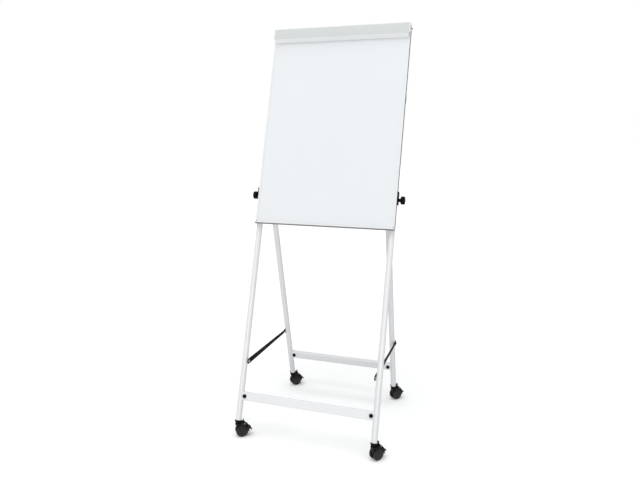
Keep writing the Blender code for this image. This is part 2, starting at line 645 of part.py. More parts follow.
def castor_lever(corner, swivel, upright, across):
    """Brake pedal that hugs the hood, with a release horn near the stem and its cross pin."""
    px, pz = LEVER_PIVOT
    inner = arc(TRAIL, WHEEL_R, HOOD_R + 0.9 * MM, 10, 60, 7)
    outer = arc(TRAIL, WHEEL_R, HOOD_R + 4.3 * MM, 58, 24, 6)
    heel = [(29, 64), (23.4, 64.4), (24.6, 85.5), (26.6, 85.5), (28, 71.4), (31.4, 69.6)]
    toe = [(57.5, 41.8), (62.5, 36.8), (65.8, 29.8), (63.2, 28.6), (57.6, 34.2)]
    heel, toe = ([(x * MM, z * MM) for x, z in part] for part in (heel, toe))
    points = [(x - px, z - pz) for x, z in inner + heel + outer + toe]
    axis = at(px, 0, pz)
    lever = plate("castor_brake_" + corner, points, 2 * LEVER_HALF, swivel, "black_plastic",
                  axis @ upright)
    reach = LEVER_HALF + 3.6 * MM
    pin = rod("castor_brake_pin", 2 * MM, -reach, reach, swivel, None, axis @ across)
    combine(lever, pin, "UNION")


def build_castors():
    front_y = FRONT_FOOT_Y + SWIVEL_AT * tan(LEAN_FRONT)
    rear_y = HINGE_Y + (HINGE_HEIGHT - SWIVEL_AT) * tan(LEAN_REAR)
    for end, x, y in (("front", FRONT_LEG_X, front_y), ("rear", REAR_LEG_X, rear_y)):
        for word, side in SIDES:
            corner = end + "_" + word
            castor(corner, side * x, y, radians(HEADINGS[corner]))


build_front_frame()
build_rear_frame()
build_braces()
build_board()
build_clamp_bar()
build_hooks()
build_knobs()
build_castors()
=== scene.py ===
"""Looks for the flipchart easel: fine meshes, procedural materials, camera and studio light."""
import json
from math import atan2, cos, pi, radians, sin, sqrt, tan

import bmesh
import bpy
from mathutils import Matrix, Vector


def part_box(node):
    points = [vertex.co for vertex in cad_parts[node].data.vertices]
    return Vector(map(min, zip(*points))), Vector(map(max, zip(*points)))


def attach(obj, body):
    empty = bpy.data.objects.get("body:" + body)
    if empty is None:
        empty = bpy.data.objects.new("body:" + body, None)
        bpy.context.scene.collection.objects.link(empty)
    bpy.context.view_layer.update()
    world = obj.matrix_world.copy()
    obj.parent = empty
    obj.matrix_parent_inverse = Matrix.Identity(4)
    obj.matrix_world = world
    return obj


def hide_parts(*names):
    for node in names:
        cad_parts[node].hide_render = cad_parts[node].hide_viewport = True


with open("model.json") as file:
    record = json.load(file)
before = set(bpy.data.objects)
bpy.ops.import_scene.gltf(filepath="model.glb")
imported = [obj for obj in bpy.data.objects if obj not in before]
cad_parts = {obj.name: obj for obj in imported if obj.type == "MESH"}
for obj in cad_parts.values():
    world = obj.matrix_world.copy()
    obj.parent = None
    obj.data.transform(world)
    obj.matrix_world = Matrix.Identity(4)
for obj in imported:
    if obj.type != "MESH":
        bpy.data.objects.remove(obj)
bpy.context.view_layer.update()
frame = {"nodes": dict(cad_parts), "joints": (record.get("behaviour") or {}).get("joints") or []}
JOINTS = {j["name"]: j for j in frame["joints"]}
NODES = frame["nodes"]
MM = 0.001

# ---- Frames and sizes, as in the part -----------------------------------------------------
rise = Vector(JOINTS["board_height"]["axis"])
LEAN_FRONT = atan2(rise.y, rise.z)
LEAN_REAR = radians(15.5)
fold_at = Vector(JOINTS["fold"]["pos_m"])
FOOT_Y = fold_at.y - fold_at.z * tan(LEAN_FRONT)
FRONT = Matrix.Translation((0, FOOT_Y, 0)) @ Matrix.Rotation(-LEAN_FRONT, 4, "X")
REAR = Matrix.Translation(fold_at) @ Matrix.Rotation(LEAN_REAR, 4, "X")
FRONT_TO_HINGE = fold_at.z / cos(LEAN_FRONT)
REAR_TO_HINGE = fold_at.z / cos(LEAN_REAR)
FLAT_IN_YZ = Matrix(((0, 0, 1, 0), (1, 0, 0, 0), (0, 1, 0, 0), (0, 0, 0, 1)))
TO_FRONT = Matrix.Rotation(pi / 2, 4, "X")             # turns local Z to -Y

TUBE_R = 14 * MM
TUBE_IN = 12.5 * MM
FRONT_X = 334.5 * MM
REAR_X = 297 * MM
SIDES = (("left", -1), ("right", 1))
TRAIL = 17 * MM
WHEEL_R = 30 * MM
BRACE_X = abs(JOINTS["brace_right_lift"]["pos_m"][0])
LEG_BOTTOM = 77.5 * MM                                 # this and later heights run along the legs
FRONT_LEG_TOP = 1.765
FRONT_BAR_S = 0.2015
REAR_BAR_S = 0.212
TOP_BAR_S = 1.735
BOARD_HALF = 350 * MM
BOARD_BOTTOM = 1.045
BOARD_TOP = 2.029
PANEL_TOP = 2.015
FACE, BACK = -26 * MM, -4 * MM                         # depths of the side frames
PAINTED_SHADE_HEIGHT = 4.0 * MM                                   # height of the tray's lower edge painted dark grey as painted shade
KNOB_S = 1.192
PLATE_X = 352.4 * MM                                   # middle of the clamp plates
CLAMP_HALF = 344.2 * MM
PIVOT = (2 * MM, 2.040)                                # depth and height of the bar's axis


# ---- Materials ----------------------------------------------------------------------------
class Finish:
    """A Principled material built up from object-space noise."""

    def __init__(self, name, roughness, metallic=0.0, **sockets):
        self.mat = bpy.data.materials.new(name)
        self.mat.use_nodes = True
        self.tree = self.mat.node_tree
        self.shader = self.tree.nodes["Principled BSDF"]
        self.set("Roughness", roughness)
        self.set("Metallic", metallic)
        for key, value in sockets.items():
            self.set(key.replace("_", " "), value)
        coords = self.add("ShaderNodeTexCoord")
        self.place = coords.outputs["Object"]

    def set(self, socket, value):
        self.shader.inputs[socket].default_value = value

    def add(self, kind, **settings):
        node = self.tree.nodes.new(kind)
        for key, value in settings.items():
            setattr(node, key, value)
        return node

    def link(self, a, b):
        self.tree.links.new(a, b)

    def stretch(self, factors):
        mapping = self.add("ShaderNodeMapping")
        mapping.inputs["Scale"].default_value = factors
        self.link(self.place, mapping.inputs["Vector"])
        return mapping.outputs["Vector"]

    def noise(self, scale, detail=4.0, low=0.0, high=1.0, coords=None, span=(0.3, 0.7)):
        """Noise remapped so that its usual span runs from low to high."""
        node = self.add("ShaderNodeTexNoise")
        node.inputs["Scale"].default_value = scale
        node.inputs["Detail"].default_value = detail
        self.link(coords or self.place, node.inputs["Vector"])
        return self.remap(node.outputs["Fac"], span, (low, high))

    def remap(self, value, source, target):
        node = self.add("ShaderNodeMapRange")
        node.inputs["From Min"].default_value = source[0]
        node.inputs["From Max"].default_value = source[1]
        node.inputs["To Min"].default_value = target[0]
        node.inputs["To Max"].default_value = target[1]
        self.link(value, node.inputs["Value"])
        return node.outputs["Result"]

    def mix(self, factor, first, second):
        """A colour mix; each end is a colour or a socket."""
        node = self.add("ShaderNodeMix", data_type="RGBA")
        self.link(factor, node.inputs["Factor"])
        for socket, value in ((node.inputs[6], first), (node.inputs[7], second)):
            if isinstance(value, tuple):
                socket.default_value = (*value, 1.0)
            else:
                self.link(value, socket)
        return node.outputs[2]

    def colour(self, value):
        self.link(value, self.shader.inputs["Base Color"])

    def rough(self, value):
        self.link(value, self.shader.inputs["Roughness"])

    def bump(self, *layers):
        """Each layer is a height socket, its depth in metres and a strength."""
        normal = None
        for height, depth, strength in layers:
            node = self.add("ShaderNodeBump")
            node.inputs["Distance"].default_value = depth
            node.inputs["Strength"].default_value = strength
            self.link(height, node.inputs["Height"])
            if normal:
                self.link(normal, node.inputs["Normal"])
            normal = node.outputs["Normal"]
        self.link(normal, self.shader.inputs["Normal"])
        return self.mat

    def height_above_floor(self, low, high):
        """1 at the lower height and 0 at the higher one."""
        split = self.add("ShaderNodeSeparateXYZ")
        self.link(self.place, split.inputs["Vector"])
        return self.remap(split.outputs["Z"], (low, high), (1.0, 0.0))

    def times(self, a, b):
        node = self.add("ShaderNodeMath", operation="MULTIPLY")
        self.link(a, node.inputs[0])
        self.link(b, node.inputs[1])
        return node.outputs[0]


def powder_coat(name, colour, shade, roughness=0.34, shine=0.5):
    """Baked powder paint: fine orange peel, faint cloudiness and a little handling dust."""
    f = Finish(name, roughness, Coat_Weight=0.24 * shine, Coat_Roughness=0.22,
               Specular_IOR_Level=shine)
    cloud = f.noise(5.0, 3.0)
    f.colour(f.mix(cloud, colour, shade))
    f.rough(f.noise(38.0, 5.0, roughness - 0.06, roughness + 0.09))
    peel = f.noise(900.0, 2.0)
    swell = f.noise(260.0, 2.0)
    return f.bump((swell, 0.00008, 0.35), (peel, 0.00004, 0.45))


def enamel():
    """Glossy dry-wipe enamel with the faint haze that wiping leaves."""
    f = Finish("board_enamel", 0.16, Coat_Weight=0.5, Coat_Roughness=0.06)
    wipes = f.noise(7.0, 6.0, coords=f.stretch((1.0, 1.0, 0.35)))
    f.colour(f.mix(wipes, (0.784, 0.810, 0.826), (0.772, 0.800, 0.818)))
    f.rough(f.noise(16.0, 6.0, 0.13, 0.24, f.stretch((1.0, 1.0, 0.3))))
    return f.bump((f.noise(130.0, 2.0), 0.00003, 0.25))


def moulded(name, colour, worn, roughness=0.46, dust=0.0, shine=0.5):
    """Spark-textured injection moulding, paler where it is rubbed or dusty."""
    f = Finish(name, roughness, Specular_IOR_Level=shine)
    tone = f.mix(f.noise(60.0, 5.0), colour, worn)
    if dust:
        low = f.times(f.height_above_floor(0.0, 0.05), f.noise(90.0, 6.0, 0.0, dust))
        tone = f.mix(low, tone, (0.30, 0.28, 0.25))
    f.colour(tone)
    f.rough(f.noise(45.0, 4.0, roughness - 0.07, roughness + 0.12))
    return f.bump((f.noise(2600.0, 3.0), 0.00006, 0.5), (f.noise(320.0, 2.0), 0.00005, 0.2))


def zinc():
    """Bright zinc plate with drawn scratches and a slight straw tint."""
    f = Finish("zinc_plate", 0.28, 1.0)
    f.colour(f.mix(f.noise(120.0, 5.0), (0.70, 0.71, 0.73), (0.60, 0.59, 0.55)))
    f.rough(f.noise(420.0, 4.0, 0.20, 0.42, f.stretch((1.0, 1.0, 6.0))))
    return f.bump((f.noise(1500.0, 2.0, coords=f.stretch((1.0, 6.0, 1.0))), 0.00003, 0.3))


MATS = {
    "white": powder_coat("white_powder_coat", (0.785, 0.79, 0.795), (0.76, 0.77, 0.78)),
    # Dark grey for the board's outer side walls and the tray's lower edge is painted shade, for faces
    # that turn away from the light.
    "edge": powder_coat("edge_painted_shade", (0.165, 0.17, 0.175), (0.15, 0.155, 0.16), 0.42, 0.3),
    "bar": powder_coat("bar_powder_coat", (0.620, 0.648, 0.640), (0.605, 0.633, 0.626), 0.38),
    # The face below the bar's crease gets a paler copy of the bar's grey: painted light, for a face
    # that catches more light.
    "lip": powder_coat("bar_lip_painted_light", (0.83, 0.855, 0.86), (0.81, 0.835, 0.84), 0.36),
    "black_coat": powder_coat("black_powder_coat", (0.005, 0.005, 0.0055), (0.010, 0.010, 0.011),
                              0.48, 0.03),
    "enamel": enamel(),
    "backing": powder_coat("board_backing", (0.72, 0.73, 0.74), (0.68, 0.69, 0.70), 0.5),
    "white_plastic": moulded("white_plastic", (0.82, 0.825, 0.83), (0.80, 0.805, 0.81), 0.38),
    "black_plastic": moulded("black_plastic", (0.003, 0.003, 0.0033), (0.007, 0.007, 0.0075),
                             0.42, shine=0.07),
    "castor": moulded("castor_nylon", (0.006, 0.006, 0.0065), (0.012, 0.012, 0.013), 0.36,
                      0.12, 0.30),
    "tread": moulded("castor_tread", (0.012, 0.012, 0.013), (0.022, 0.021, 0.022), 0.6, 0.3, 0.2),
    "nylon": moulded("natural_nylon", (0.74, 0.73, 0.69), (0.70, 0.69, 0.65), 0.5),
    "zinc": zinc(),
}


# ---- Mesh helpers -------------------------------------------------------------------------
def arc(cx, cy, radius, first, last, count):
    step = (last - first) / (count - 1)
    turns = [radians(first + step * i) for i in range(count)]
    return [(cx + radius * cos(t), cy + radius * sin(t)) for t in turns]


def fillet(points, radii, closed=True, steps=4):
    """Rounds the corners of a polyline; radii is one number or one for each point."""
    count = len(points)
    if not isinstance(radii, (list, tuple)):
        radii = [radii] * count
    made = []
    for i, (point, radius) in enumerate(zip(points, radii)):
        if radius <= 0 or (not closed and i in (0, count - 1)):
            made.append(point)
            continue
        here = Vector(point)
        back = Vector(points[i - 1]) - here
        ahead = Vector(points[(i + 1) % count]) - here
        corner = back.angle(ahead)
        if corner > radians(176):
            made.append(point)
            continue
        reach = min(radius / tan(corner / 2), back.length * 0.49, ahead.length * 0.49)
        first = here + back.normalized() * reach
        last = here + ahead.normalized() * reach
        for k in range(steps + 1):
            t = k / steps
            spot = first * (1 - t) ** 2 + here * 2 * t * (1 - t) + last * t ** 2
            made.append((spot.x, spot.y))
    return made


def finish_piece(name, bm, local, body, look, replaces=(), sharp=40, bevel=0.0, extra=()):
    """Bakes the place into the mesh and hands the piece to its body and material."""
    bmesh.ops.remove_doubles(bm, verts=bm.verts, dist=1e-7)
    bmesh.ops.recalc_face_normals(bm, faces=bm.faces)
    bm.transform(local)
    mesh = bpy.data.meshes.new(name)
    bm.to_mesh(mesh)
    bm.free()
    piece = bpy.data.objects.new(name, mesh)
    bpy.context.scene.collection.objects.link(piece)
    for key in (look, *extra):
        mesh.materials.append(MATS[key])
    mesh.shade_smooth()
    mesh.set_sharp_from_angle(angle=radians(sharp))
    if bevel:
        soften(piece, bevel)
    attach(piece, body)
    if replaces:
        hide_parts(*replaces)
    return piece


def paint_below(piece, look, s):
    """Gives the walls of a section below the board height s another material."""
    piece.data.materials.append(MATS[look])
    upright = FRONT.inverted()
    for polygon in piece.data.polygons:
        if len(polygon.vertices) == 4 and (upright @ polygon.center).z < s:
            polygon.material_index = 1


def soften(piece, width, segments=3):
    modifier = piece.modifiers.new("soft_edges", "BEVEL")
    modifier.width = width
    modifier.segments = segments
    modifier.limit_method = "ANGLE"
    modifier.angle_limit = radians(38)
    modifier.harden_normals = False


def turn(name, profile, local, body, look, replaces=(), sides=64, closed=False, sharp=40,
         bands=None, extra=(), ripple=None):
    """A lathe about local Z. bands gives a material index for each profile segment."""
    bm = bmesh.new()
    rings = []
    for r, z in profile:
        if r < 1e-7:
            rings.append([bm.verts.new((0, 0, z))] * sides)
            continue
        ring = []
        for k in range(sides):
            t = 2 * pi * k / sides
            reach = r - (ripple(r, z, t) if ripple else 0)
            ring.append(bm.verts.new((reach * cos(t), reach * sin(t), z)))
        rings.append(ring)
    pairs = list(zip(rings, rings[1:]))
    if closed:
        pairs.append((rings[-1], rings[0]))
    for index, (low, high) in enumerate(pairs):
        for k in range(sides):
            n = (k + 1) % sides
            corners = []
            for vert in (low[k], low[n], high[n], high[k]):
                if vert not in corners:
                    corners.append(vert)
            if len(corners) > 2:
                face = bm.faces.new(corners)
                face.material_index = bands[index] if bands else 0
    return finish_piece(name, bm, local, body, look, replaces, sharp, extra=extra)


def slab(name, outline, low, high, local, body, look, replaces=(), bevel=0.0, sharp=40):
    """An outline in local XY, extruded from low to high along local Z."""
    bm = bmesh.new()
    face = bm.faces.new([bm.verts.new((x, y, low)) for x, y in outline])
    grown = bmesh.ops.extrude_face_region(bm, geom=[face])
    moved = [v for v in grown["geom"] if isinstance(v, bmesh.types.BMVert)]
    bmesh.ops.translate(bm, verts=moved, vec=(0, 0, high - low))
    return finish_piece(name, bm, local, body, look, replaces, sharp, bevel)


def loft(name, sections, local, body, look, replaces=(), sharp=40, bevel=0.0, capped=True):
    """Skins closed rings of equal length; the ends are filled."""
    bm = bmesh.new()
    rings = [[bm.verts.new(p) for p in ring] for ring in sections]
    for low, high in zip(rings, rings[1:]):
        for k in range(len(low)):
            n = (k + 1) % len(low)
            bm.faces.new((low[k], low[n], high[n], high[k]))
    if capped:
        bm.faces.new(rings[0])
        bm.faces.new(rings[-1])
    return finish_piece(name, bm, local, body, look, replaces, sharp, bevel)


def rectangle(half, front, back):
    """Outline in X and depth, for a sheet that runs up the board."""
    return [(-half, front), (half, front), (half, back), (-half, back)]


def at(x=0.0, y=0.0, z=0.0):
    return Matrix.Translation((x, y, z))


def outward(side):
    """Turns local Z to the easel's outside."""
    return Matrix.Rotation(side * pi / 2, 4, "Y")


# ---- Legs and crossbars -------------------------------------------------------------------
def leg(name, x, bottom, top, base, body):
    ring = [(TUBE_IN, bottom), (TUBE_R, bottom), (TUBE_R, top), (TUBE_IN, top)]
    profile = fillet(ring, 0.5 * MM, steps=3)
    turn(name + "_tube", profile, base @ at(x), body, "white", (name,), 72, closed=True)


def rounded_bar(height, depth, corner, step):
    """Outline of a rectangular tube as (depth, height) points, its flats cut into strips."""
    h, d = height / 2, depth / 2
    points = fillet([(-d, -h), (d, -h), (d, h), (-d, h)], corner, steps=5)
    dense = []
    for i, point in enumerate(points):
        here, there = Vector(point), Vector(points[(i + 1) % len(points)])
        parts = max(1, round((there - here).length / step))
        dense += [tuple(here.lerp(there, k / parts)) for k in range(parts)]
    return dense


def coped_bar(name, leg_x, s, height, depth, wall, base, body):
    """A rectangular tube whose ends follow the round legs."""
    outer = rounded_bar(height, depth, 3 * MM, 2.5 * MM)
    shrink_d = (depth - 2 * wall) / depth
    shrink_h = (height - 2 * wall) / height
    inner = [(d * shrink_d, h * shrink_h) for d, h in outer]
    reach = TUBE_R + 0.2 * MM

    def end(points, side):
        return [(side * (leg_x - sqrt(reach ** 2 - d ** 2)), d, s + h) for d, h in points]
    rings = [end(inner, -1), end(outer, -1), end(outer, 1), end(inner, 1), end(inner, -1)]
    loft(name + "_tube", rings, base, body, "white", (name,), capped=False)


def bar_cap(name, x, s, base, body):
    """Black hexagonal screw cap over a thin washer."""
    local = base @ at(x, 0, s) @ TO_FRONT
    hexagon = arc(0, 0, 9 * MM, 30, 330, 6)
    face = 10 * MM
    sections = [[(px * k, py * k, face + z * MM) for px, py in fillet(hexagon, 2.2 * MM)]
                for k, z in ((0.98, 0.9), (1.0, 1.4), (1.0, 6.4), (0.96, 7.5), (0.86, 8.2), (0.5, 8.5))]
    loft(name + "_head", sections, local, body, "black_plastic", (name,), sharp=50)
    ring = fillet([(3 * MM, face + 0.1 * MM), (9.6 * MM, face + 0.1 * MM),
                   (9.6 * MM, face + 1.0 * MM), (3 * MM, face + 1.0 * MM)], 0.3 * MM, steps=2)
    turn(name + "_washer", ring, local, body, "black_plastic", sides=48, closed=True)


def leg_socket(name, x, floor, base, body, pivot):
    """Collar under a tube end, and the upright boss that takes the castor's stem."""
    ring = [(0, 73.7 * MM), (13.6 * MM, 73.7 * MM), (15.6 * MM, 75.5 * MM), (17.4 * MM, 82.6 * MM),
            (17.4 * MM, 85 * MM), (14.3 * MM, 85 * MM), (14.1 * MM, 77.6 * MM), (0, 77.6 * MM)]
    radii = [0, 1.6 * MM, 2 * MM, 0.8 * MM, 0.9 * MM, 0.5 * MM, 0, 0]
    profile = fillet(ring, radii, closed=False)
    turn(name + "_collar", profile, base @ at(x, 0, floor), body, "black_plastic", (name,))
    boss = fillet([(0, 66.2 * MM), (11 * MM, 66.2 * MM), (11.6 * MM, 77 * MM), (0, 77 * MM)],
                  [0, 1 * MM, 0, 0], closed=False)
    turn(name + "_boss", boss, at(pivot[0], pivot[1]), body, "black_plastic")


def tube_cap(name, x, top, base, body):
    dome = [(0, top + 3.2 * MM), (5 * MM, top + 3.0 * MM), (9 * MM, top + 2.3 * MM),
            (12 * MM, top + 1.2 * MM), (13.4 * MM, top + 0.2 * MM), (12.3 * MM, top - 0.2 * MM),
            (12.3 * MM, top - 5 * MM), (0, top - 5 * MM)]
    turn(name + "_dome", dome, base @ at(x), body, "black_plastic", (name,), sharp=60)


def legs_and_bars():
    """Tubes, crossbars, screw caps, sockets and tube caps of both frames."""
    for word, side in SIDES:
        for end, base, body, leg_x, s_bar, inset, floor, top in (
                ("front", FRONT, "front_frame", FRONT_X, FRONT_BAR_S, 22.5 * MM, 0.0,
                 FRONT_LEG_TOP),
                ("rear", REAR, "rear_frame", REAR_X, REAR_BAR_S - REAR_TO_HINGE, 25.5 * MM,
                 -REAR_TO_HINGE, 8 * MM)):
            x = side * leg_x
            leg(end + "_leg_" + word, x, floor + LEG_BOTTOM, top, base, body)
            bar_cap(end + "_bar_screw_" + word, side * (leg_x - inset), s_bar, base, body)
            pivot = JOINTS["castor_" + end + "_" + word + "_swivel"]["pos_m"]
            leg_socket(end + "_leg_socket_" + word, x, floor, base, body, pivot)
            tube_cap(end + "_leg_cap_" + word, x, top, base, body)
    coped_bar("front_crossbar", FRONT_X, FRONT_BAR_S, 40 * MM, 20 * MM, 1.5 * MM, FRONT,
              "front_frame")
    coped_bar("front_top_bar", FRONT_X, TOP_BAR_S, 30 * MM, 15 * MM, 1.5 * MM, FRONT,
              "front_frame")
    coped_bar("rear_crossbar", REAR_X, REAR_BAR_S - REAR_TO_HINGE, 40 * MM, 20 * MM, 1.5 * MM,
              REAR, "rear_frame")


def fold_hardware():
    """Domed bolts and nylon spacers on the fold's axis."""
    for word, side in SIDES:
        local = FRONT @ at(0, 0, FRONT_TO_HINGE) @ outward(side)
        head = REAR_X - TUBE_R
        ring = [(0, head - 5 * MM), (5.5 * MM, head - 4.6 * MM), (8 * MM, head - 2.6 * MM),
                (8.6 * MM, head - 0.9 * MM), (8.6 * MM, head - 0.3 * MM), (3.8 * MM, head - 0.3 * MM),
                (3.8 * MM, FRONT_X - TUBE_R + 3 * MM), (0, FRONT_X - TUBE_R + 3 * MM)]
        turn("fold_bolt_" + word + "_dome", ring, local, "front_frame", "zinc",
             ("fold_bolt_" + word,), sides=48)
        low, high = REAR_X + TUBE_R + 0.3 * MM, FRONT_X - TUBE_R - 0.3 * MM
        ring = fillet([(4.3 * MM, low), (9 * MM, low), (9 * MM, high), (4.3 * MM, high)], 0.6 * MM)
        turn("fold_spacer_" + word + "_ring", ring, local, "front_frame", "nylon",
             ("fold_spacer_" + word,), sides=48, closed=True)


# ---- Braces -------------------------------------------------------------------------------
def braces():
    """Flat strips that pivot on the front legs and hook over studs on the rear legs."""
    pivot = Vector(JOINTS["brace_right_lift"]["pos_m"])
    stud_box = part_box("brace_stud_right")
    length = (stud_box[0].y + stud_box[1].y) / 2 - pivot.y
    slope = radians(27)
    down = Vector((-sin(slope), -cos(slope)))
    across = Vector((cos(slope), -sin(slope)))
    slot_r = 4.9 * MM
    seat = [Vector((length, 0)) + across * slot_r * cos(t) - down * slot_r * sin(t)
            for t in [pi * k / 10 for k in range(11)]]
    rear_lip = seat[0] + down * 11.5 * MM
    front_lip = seat[-1] + down * 9.5 * MM
    outline = arc(0, 0, 13.2 * MM, 90, 270, 17)
    outline += [(14 * MM, -13.2 * MM), (90 * MM, -12.4 * MM), (length - 24 * MM, -8 * MM)]
    outline += [tuple(front_lip - across * 5 * MM), tuple(front_lip)]
    outline += [tuple(p) for p in reversed(seat)]
    outline += [tuple(rear_lip), tuple(rear_lip + across * 4.5 * MM)]
    outline += [(length + 12.6 * MM, 2 * MM), (length + 11.5 * MM, 14 * MM),
                (length + 4 * MM, 17 * MM), (length - 6 * MM, 11 * MM), (length - 24 * MM, 8 * MM)]
    outline += [(90 * MM, 12.4 * MM), (14 * MM, 13.2 * MM)]
    for word, side in SIDES:
        base = at(side * BRACE_X, pivot.y, pivot.z)
        slab("brace_" + word + "_strip", outline, -1.5 * MM, 1.5 * MM, base @ FLAT_IN_YZ,
             "brace_" + word, "black_coat", ("brace_" + word,), bevel=0.5 * MM)
        local = base @ outward(side)
        ring = [(0, -5.2 * MM), (3 * MM, -5.0 * MM), (5.4 * MM, -4.0 * MM), (6.8 * MM, -2.4 * MM),
                (7.2 * MM, -1.6 * MM), (3 * MM, -1.6 * MM), (3 * MM, 8 * MM), (0, 8 * MM)]
        turn("brace_rivet_" + word + "_inside", ring, local, "front_frame", "zinc",
             ("brace_rivet_" + word,), sides=48, sharp=50)
        collar = fillet([(3 * MM, 1.8 * MM), (6 * MM, 1.8 * MM), (6 * MM, 5.9 * MM),
                         (3 * MM, 5.9 * MM)], 0.3 * MM)
        turn("brace_rivet_" + word + "_collar", collar, local, "front_frame", "zinc", sides=40,
             closed=True)
        stud = at(side * BRACE_X, pivot.y + length, pivot.z) @ outward(side)
        ring = [(0, 5.3 * MM), (4.4 * MM, 5.2 * MM), (6.1 * MM, 4.2 * MM), (6.5 * MM, 3.2 * MM),
                (6.5 * MM, 2.4 * MM), (4 * MM, 2.3 * MM), (4 * MM, -3.2 * MM), (0, -3.2 * MM)]
        turn("brace_stud_" + word + "_head", ring, stud, "rear_frame", "black_coat",
             ("brace_stud_" + word,), sides=48, sharp=50)


# ---- Board --------------------------------------------------------------------------------
def board():
    """Panel, side frames, tray, top border, rail and clamp plates."""
    half = BOARD_HALF
    low = BOARD_BOTTOM + 2.8 * MM
    panel_low = BOARD_BOTTOM + 4 * MM
    sheet = rectangle(half - 1.5 * MM, -24.5 * MM, -23.8 * MM)
    slab("panel_sheet", sheet, panel_low, PANEL_TOP, FRONT, "board", "enamel", ("board_panel",))
    core = rectangle(half - 1.6 * MM, -23.7 * MM, -18.5 * MM)
    slab("panel_core", core, panel_low, PANEL_TOP, FRONT, "board", "backing", bevel=0.3 * MM)
    for word, side in SIDES:
        section = [(half, FACE), (half, BACK), (half - 1.2 * MM, BACK),
                   (half - 1.2 * MM, FACE + 1.2 * MM), (half - 10 * MM, FACE + 1.2 * MM),
                   (half - 10 * MM, FACE)]
        outline = fillet(section, [1.4 * MM, 0.4 * MM, 0.4 * MM, 0, 0.4 * MM, 0.4 * MM])
        rings = [[(side * x, d, low) for x, d in outline],
                 [(side * x, d, BOARD_TOP + (d - BACK) * tan(radians(35))) for x, d in outline]]
        piece = loft("side_frame_" + word + "_section", rings, FRONT, "board", "white",
                     ("side_frame_" + word,))
        # The side walls that face outward get the dark edge material: painted shade for their shaded
        # side faces.
        piece.data.materials.append(MATS["edge"])
        for polygon in piece.data.polygons:
            if polygon.normal.x * side > 0.95 and polygon.center.x * side > half - 0.1 * MM:
                polygon.material_index = 1
        clamp_plate(word, side)
    tray(half)
    border = [(-26 * MM, 1.9765), (-24.6 * MM, 1.9765), (-24.6 * MM, 2.0125), (-26 * MM, 2.0125)]
    slab("top_border_strip", fillet(border, [0.5 * MM, 0, 0, 0]), -339.6 * MM, 339.6 * MM,
         FRONT @ FLAT_IN_YZ, "board", "white")
    rail = fillet([(-20 * MM, 2.0225), (8 * MM, 2.0225), (8 * MM, 2.045), (-20 * MM, 2.045)], 1.5 * MM)
    slab("top_rail_section", rail, -343 * MM, 343 * MM, FRONT @ FLAT_IN_YZ, "board", "white",
         ("top_rail",))
    for name in ("lower_guide_left", "lower_guide_right", "upper_guide_left", "upper_guide_right"):
        NODES[name].data.materials.clear()
        NODES[name].data.materials.append(MATS["nylon"])
        soften(NODES[name], 0.8 * MM)


def tray(half):
    """Ledge under the board with an upturned lip, its lower edge painted grey as painted shade."""
    z = BOARD_BOTTOM
    section = [(-34 * MM, z), (-15.5 * MM, z), (-15.5 * MM, z + 2.5 * MM),
               (-24.8 * MM, z + 2.5 * MM), (-24.8 * MM, z + 16 * MM), (-26 * MM, z + 16 * MM),
               (-26 * MM, z + 2.6 * MM), (-32.4 * MM, z + 2.6 * MM), (-32.4 * MM, z + 10 * MM),
               (-34 * MM, z + 10 * MM), (-34 * MM, z + PAINTED_SHADE_HEIGHT)]
    radii = [2.2 * MM, 0.5 * MM, 0.3 * MM, 0.2 * MM, 0.4 * MM, 0.4 * MM, 1.5 * MM, 1.5 * MM,
             0.7 * MM, 0.7 * MM, 0]
    outline = fillet(section, radii)
    piece = slab("tray_section", outline, -half, half, FRONT @ FLAT_IN_YZ, "board", "white",
                 ("tray",))
    # The lowest few millimetres of the tray are painted dark grey: painted shade for its shaded
    # underside.
    paint_below(piece, "edge", z + PAINTED_SHADE_HEIGHT)


def clamp_plate(word, side):
    """Rounded black plate on the board's side, under the knob."""
    middle = FRONT @ at(side * PLATE_X, -9 * MM, KNOB_S + 7 * MM)
    outline = []
    for k, (a, b) in enumerate(((1, 1), (-1, 1), (-1, -1), (1, -1))):
        outline += arc(a * 5 * MM, b * 20.5 * MM, 12 * MM, 90 * k, 90 * k + 90, 9)
    slab("clamp_plate_" + word + "_pad", outline, -2 * MM, 2 * MM, middle @ FLAT_IN_YZ,
         "board", "black_plastic", ("clamp_plate_" + word,), bevel=0.8 * MM)
    rim = fillet([(8 * MM, 1.8 * MM), (9.6 * MM, 1.8 * MM), (9.6 * MM, 2.15 * MM),
                  (8 * MM, 2.15 * MM)], 0.1 * MM)
    turn("clamp_plate_" + word + "_ring", rim, FRONT @ at(side * PLATE_X, 0, KNOB_S)
         @ outward(side), "board", "black_plastic", sides=48, closed=True)


